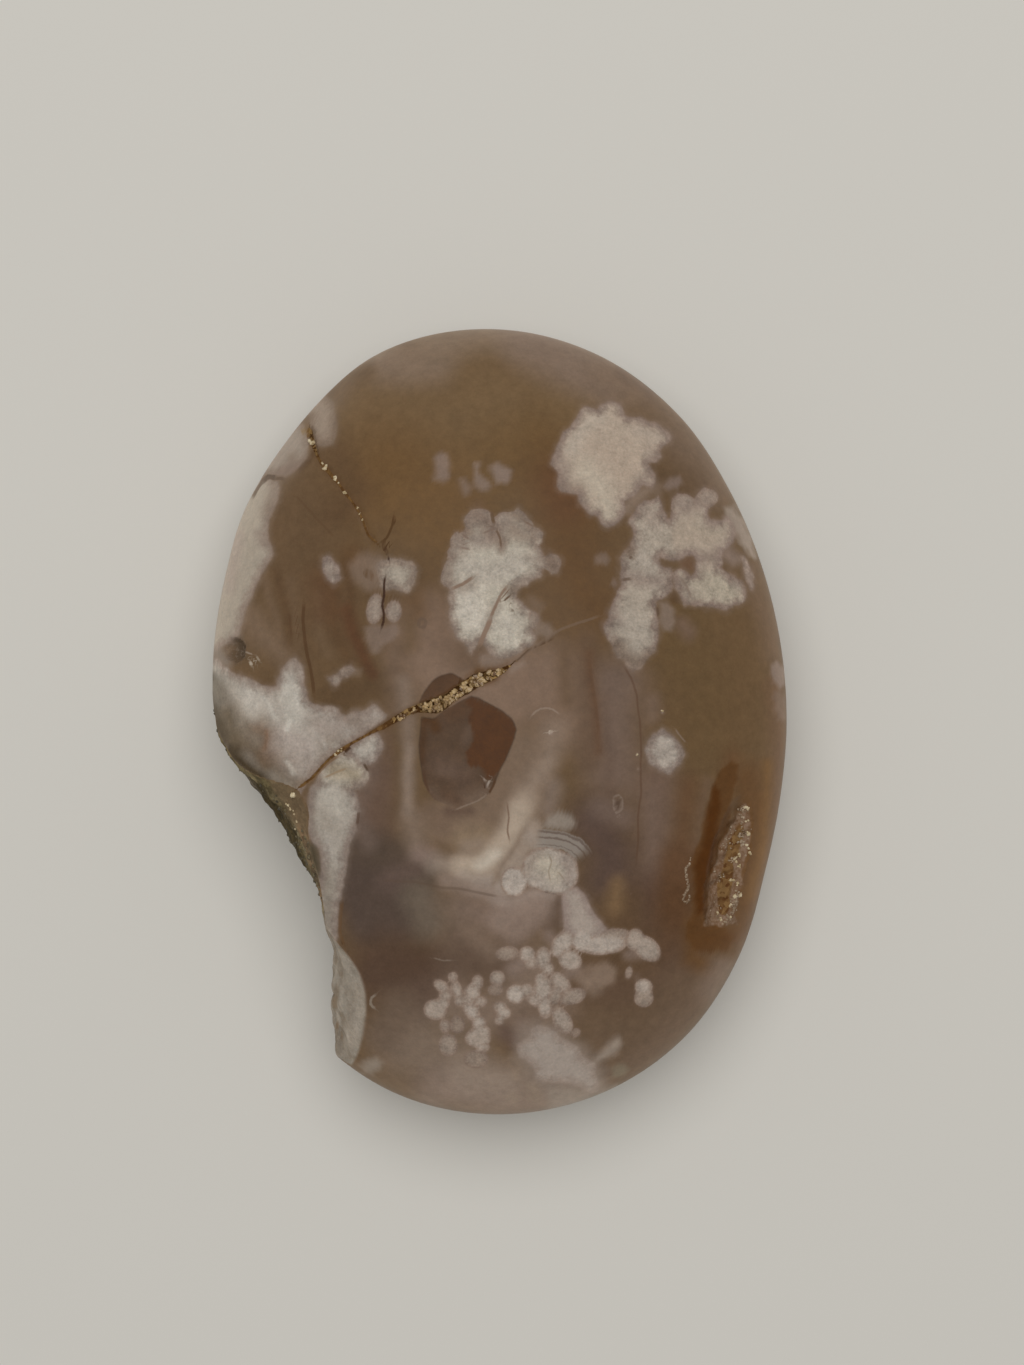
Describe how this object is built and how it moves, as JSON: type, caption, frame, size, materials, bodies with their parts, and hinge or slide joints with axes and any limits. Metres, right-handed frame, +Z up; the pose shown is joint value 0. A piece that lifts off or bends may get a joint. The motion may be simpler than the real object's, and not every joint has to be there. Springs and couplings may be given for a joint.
{
  "type": "polished palm stone",
  "caption": "Egg-shaped polished flower agate pebble with pale blossom markings, a golden crystal vein, a small druzy slit and a rough natural hollow in its side.",
  "frame": {"origin": "middle of the stone's outer box, on the surface it rests on", "axes": "+Y along the stone's length towards its plainer brown end, +Z up through the polished face, +X towards its unbroken long side"},
  "size_m": [0.0475, 0.065, 0.022],
  "materials": {
    "agate": "hand-polished to a soft gloss, left rough in the hollow"
  },
  "bodies": {
    "root": {"flower_agate_palm_stone": "agate"}
  },
  "joints": []
}
